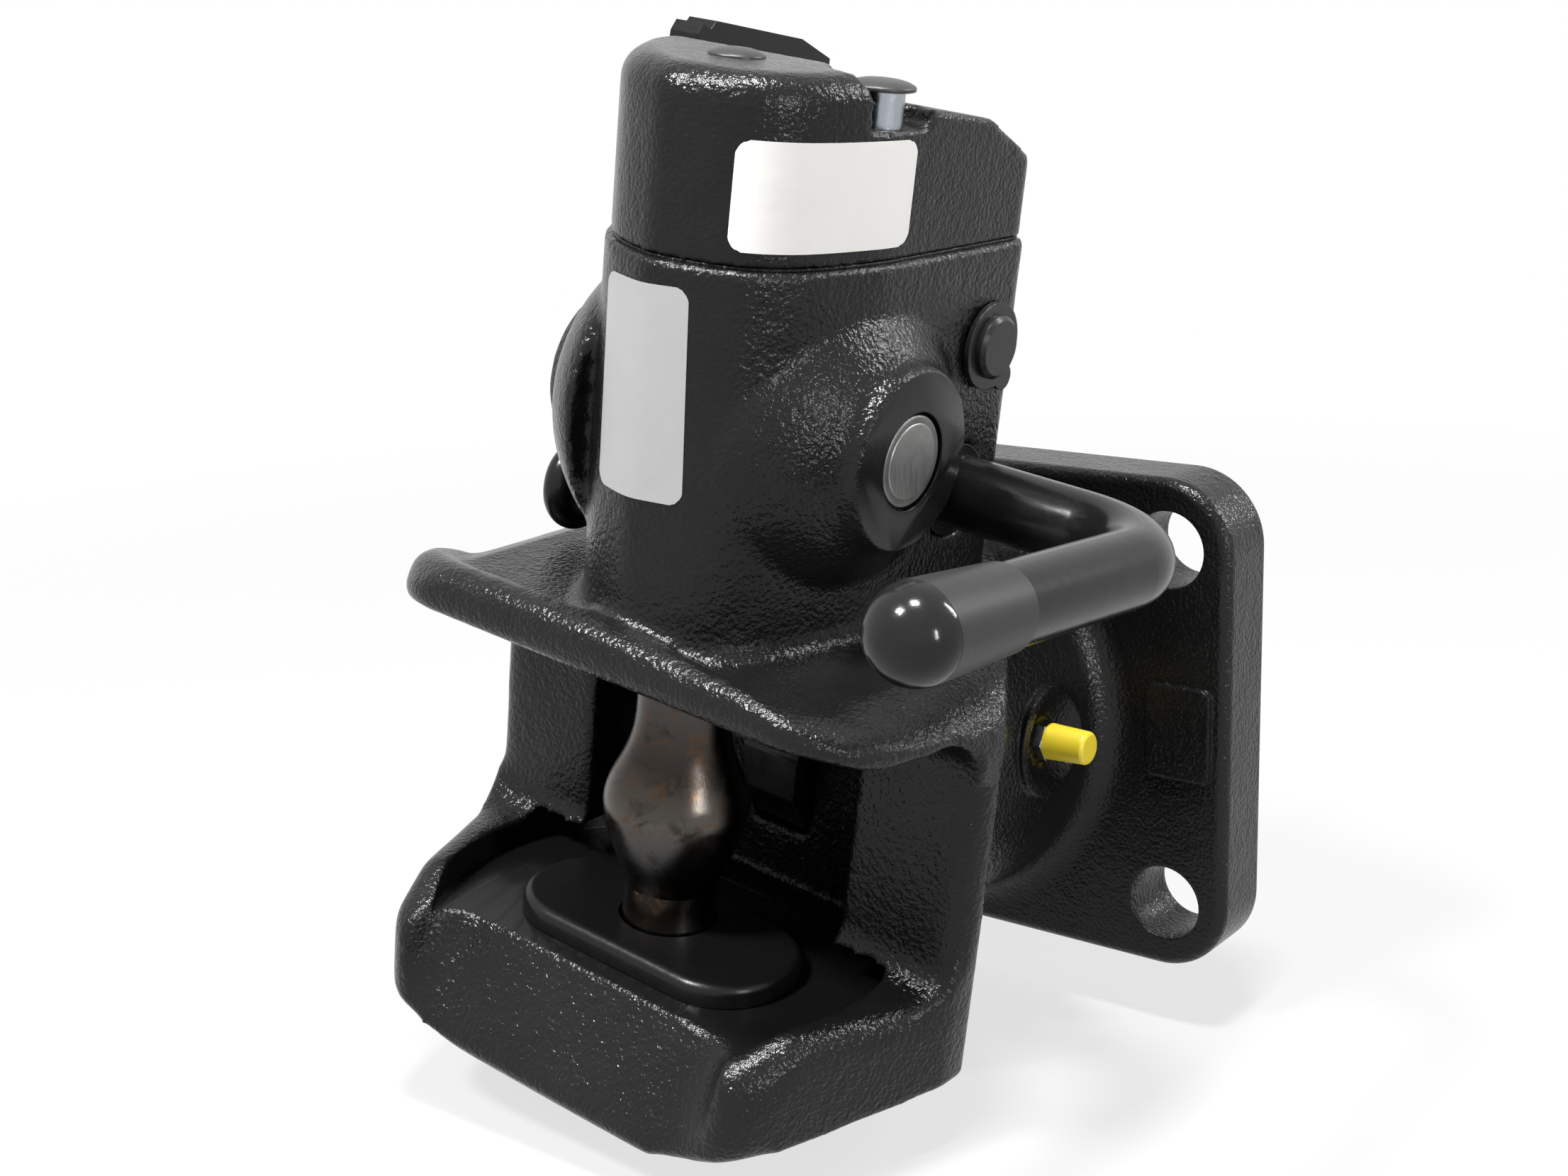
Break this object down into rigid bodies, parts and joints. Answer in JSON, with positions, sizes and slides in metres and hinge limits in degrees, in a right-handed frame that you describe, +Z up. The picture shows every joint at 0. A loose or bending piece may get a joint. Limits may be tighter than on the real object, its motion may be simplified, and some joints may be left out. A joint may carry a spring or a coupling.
{
  "type": "automatic trailer coupling",
  "caption": "Black cast trailer coupling with a swivelling jaw, a spring-loaded pin raised by a side hand lever, and a rectangular bolt-on flange.",
  "frame": {"origin": "centre of the four bolt holes on the flange's rear face", "axes": "+Y out of the flange's rear face towards the vehicle, -Y to the drawbar, +Z up, +X on the hand lever's side"},
  "size_m": [0.2196, 0.2265, 0.2775],
  "materials": {
    "cast": "semi-gloss black paint on rough casting",
    "bare_steel": "worn bright steel",
    "dark_steel": "black paint on smooth steel",
    "machined_steel": "machined",
    "zinc_steel": "bright zinc plating",
    "bronze": "bearing bronze",
    "yellow_plastic": "soft",
    "black_plastic": "smooth",
    "gasket": "thin joint"
  },
  "bodies": {
    "base": {"flange_plate": "cast", "swivel_bushes": "bronze", "thrust_washer": "machined_steel", "grease_nipple": "zinc_steel"},
    "cap": {"nipple_cap": "yellow_plastic"},
    "head": {"head_casting": "cast", "guide_sleeve": "machined_steel", "cross_pins": "bare_steel", "lower_bush": "machined_steel", "wear_plate": "dark_steel", "tower_cover": "cast", "cover_gasket": "gasket", "cover_screws": "zinc_steel", "top_plug": "black_plastic", "lever_bushes": "bronze", "trigger_pin": "machined_steel", "nut_washer": "machined_steel", "castle_nut": "machined_steel", "split_pin": "zinc_steel", "closing_spring": "machined_steel"},
    "pin": {"coupling_pin": "bare_steel"},
    "lever": {"hand_lever": "dark_steel", "grip_cap": "black_plastic", "lift_arm": "machined_steel", "pull_hook": "dark_steel"},
    "catch": {"catch_shaft": "dark_steel", "catch_pawl": "machined_steel", "release_arm": "dark_steel", "retaining_ring": "dark_steel"},
    "trigger": {"trigger_lever": "dark_steel"},
    "indicator": {"indicator_pin": "zinc_steel", "indicator_cap": "zinc_steel"}
  },
  "joints": [
    {"name": "head_swivel", "type": "hinge", "parent": "base", "child": "head", "pos_m": [0, -0.0725, 0], "axis": [0, 1, 0], "range_deg": [-99, 81]},
    {"name": "cap_pull", "type": "slide", "parent": "base", "child": "cap", "axis": [1, 0, 0], "range_m": [0, 0.014]},
    {"name": "lever_turn", "type": "hinge", "parent": "head", "child": "lever", "pos_m": [0.01252, -0.0737, 0.07902], "axis": [-0.9877, 0, 0.1564], "range_deg": [0, 67], "stiffness_Nm_per_rad": 6, "springref_deg": -34.38},
    {"name": "pin_slide", "type": "slide", "parent": "head", "child": "pin", "axis": [0.1564, 0, 0.9877], "range_m": [0, 0.0655], "deforming": ["closing_spring"]},
    {"name": "catch_turn", "type": "hinge", "parent": "head", "child": "catch", "pos_m": [0.01823, -0.067, 0.11507], "axis": [-0.9877, 0, 0.1564], "range_deg": [0, 25], "stiffness_Nm_per_rad": 1.5, "springref_deg": -20.05},
    {"name": "trigger_turn", "type": "hinge", "parent": "head", "child": "trigger", "pos_m": [0.0025, -0.075, 0.0158], "axis": [0.9877, 0, -0.1564], "range_deg": [0, 8], "stiffness_Nm_per_rad": 1, "springref_deg": -17.19},
    {"name": "indicator_slide", "type": "slide", "parent": "head", "child": "indicator", "axis": [0.1564, 0, 0.9877], "range_m": [0, 0.006]}
  ],
  "couplings": [
    {"joint": "pin_slide", "follows": "lever_turn", "m_per_rad": 0.056013},
    {"joint": "indicator_slide", "follows": "lever_turn", "m_per_rad": 0.0051309}
  ]
}
